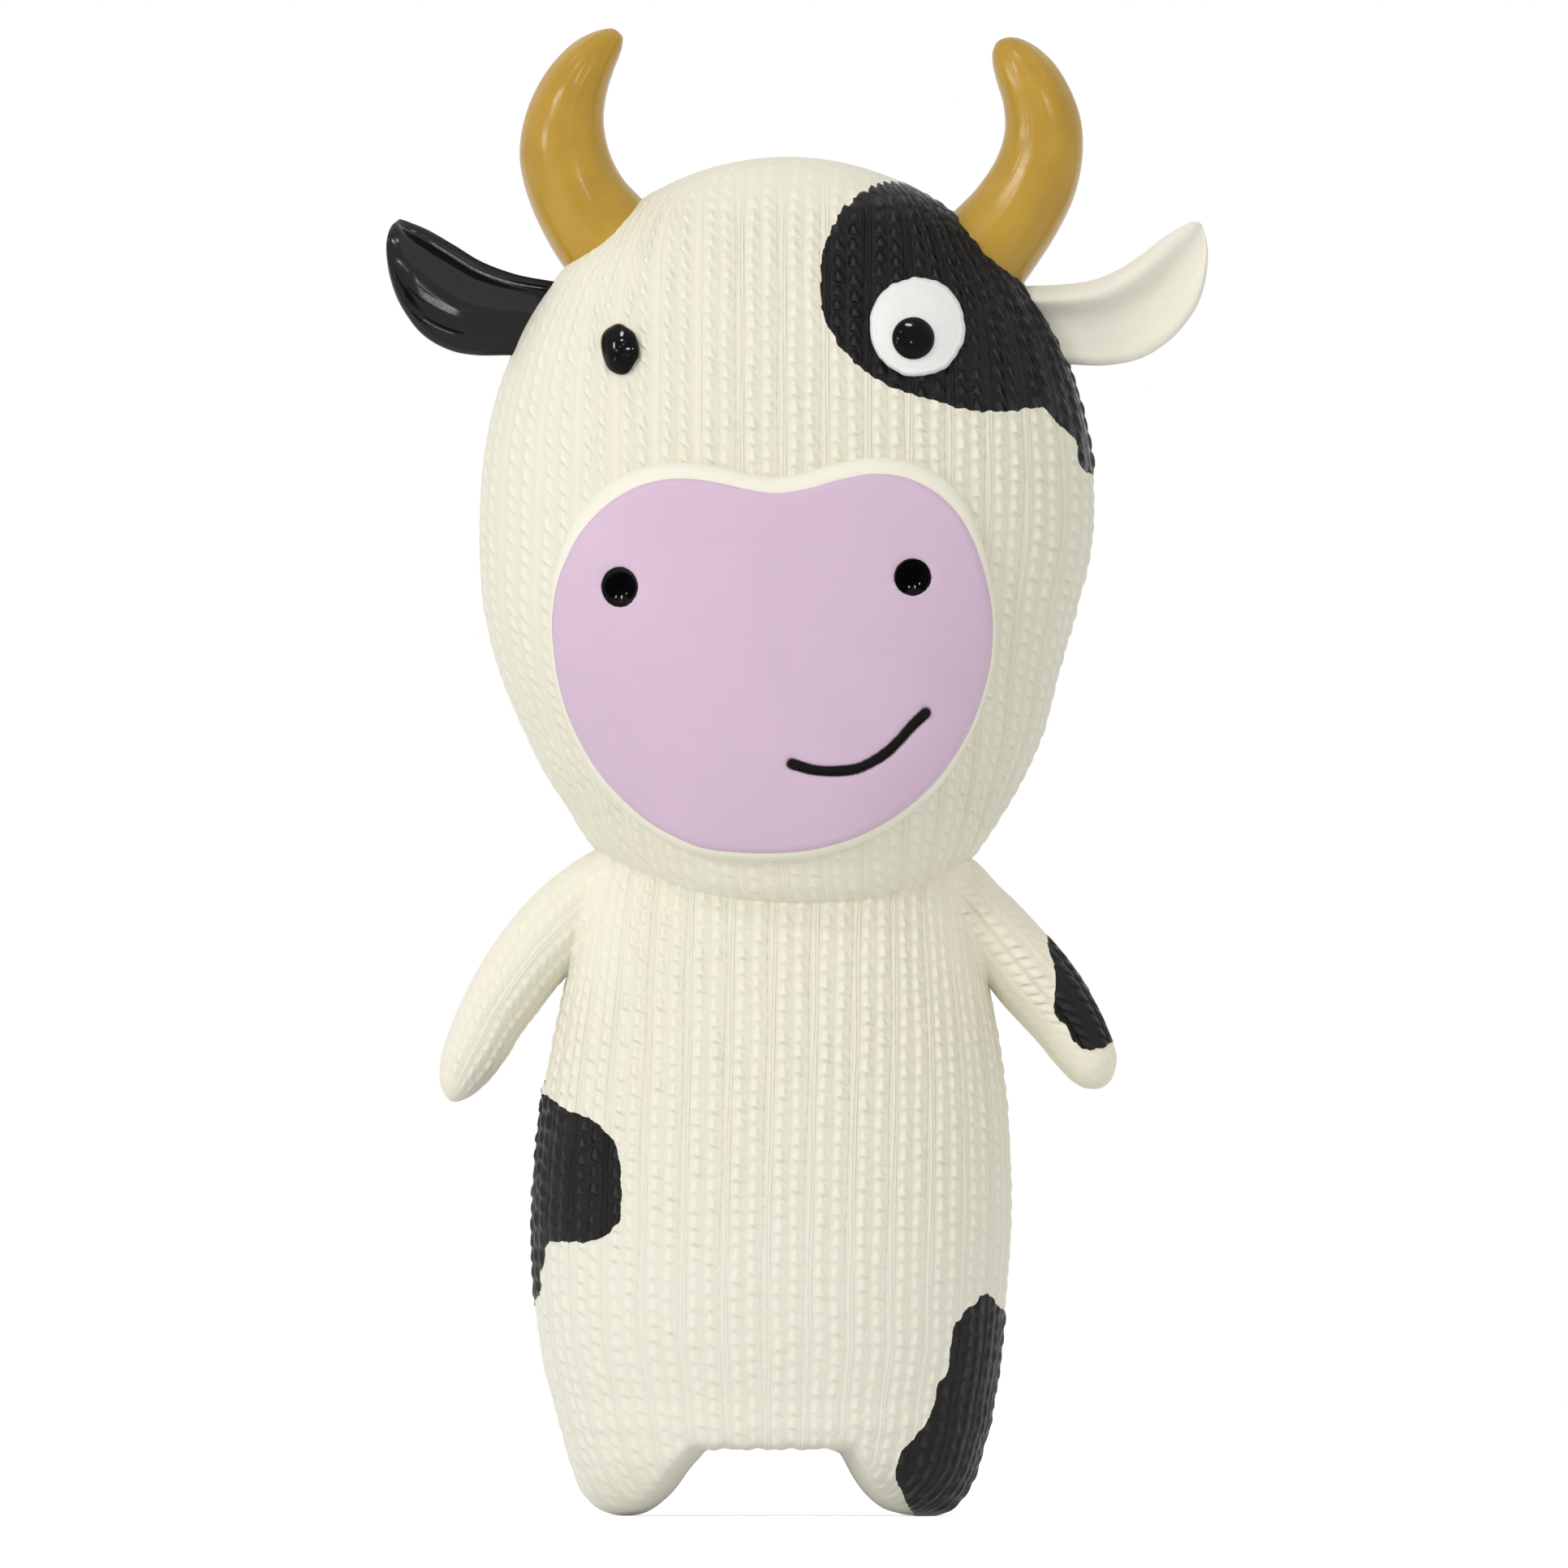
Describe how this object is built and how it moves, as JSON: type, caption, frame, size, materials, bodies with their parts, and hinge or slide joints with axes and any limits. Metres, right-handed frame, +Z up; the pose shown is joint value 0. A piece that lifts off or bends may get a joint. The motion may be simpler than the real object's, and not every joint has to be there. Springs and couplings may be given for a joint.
{
  "type": "soft toy cow",
  "caption": "Soft toy cow of moulded rubber with a knitted surface, horns, ears, arms and legs, filled with fibre and holding a squeaker that presses in.",
  "frame": {"origin": "middle of the toy's outline seen from above, on the surface that its feet stand on", "axes": "+Z up through the head, -Y the way the face looks, +X the viewer's right"},
  "size_m": [0.1274, 0.0652, 0.23],
  "materials": {
    "latex_cream": "satin, knit moulded in",
    "latex_cream_smooth": "smooth satin",
    "latex_black": "satin, knit moulded in",
    "latex_mustard": "smooth satin gloss",
    "latex_lilac": "smooth satin",
    "enamel_black": "gloss",
    "enamel_white": "gloss",
    "fibre_fill": "loose fibre",
    "squeaker_plastic": "translucent satin"
  },
  "bodies": {
    "toy": {"head_skin": "latex_cream", "body_skin": "latex_cream", "left_arm": "latex_cream", "right_arm": "latex_cream", "left_leg": "latex_cream", "right_leg": "latex_cream", "head_filling": "fibre_fill", "body_filling": "fibre_fill", "left_arm_filling": "fibre_fill", "right_arm_filling": "fibre_fill", "left_leg_filling": "fibre_fill", "right_leg_filling": "fibre_fill", "left_ear": "latex_black", "right_ear": "latex_cream_smooth", "left_horn": "latex_mustard", "right_horn": "latex_mustard", "muzzle_pad": "latex_cream_smooth", "muzzle_face": "latex_lilac", "left_nostril": "enamel_black", "right_nostril": "enamel_black", "mouth_line": "enamel_black", "left_eye": "enamel_black", "right_eye_white": "enamel_white", "right_eye_pupil": "enamel_black", "head_patch": "latex_black", "body_patch": "latex_black", "arm_patch": "latex_black", "leg_patch": "latex_black", "back_plug": "latex_cream_smooth", "squeaker_base": "squeaker_plastic", "squeaker_reed": "squeaker_plastic", "squeaker_bellows": "squeaker_plastic"},
    "crown": {"squeaker_crown": "squeaker_plastic"}
  },
  "joints": [
    {"name": "crown_press", "type": "slide", "parent": "toy", "child": "crown", "axis": [0, 0, -1], "range_m": [0, 0.005], "stiffness_N_per_m": 400, "deforming": ["squeaker_bellows"]}
  ]
}
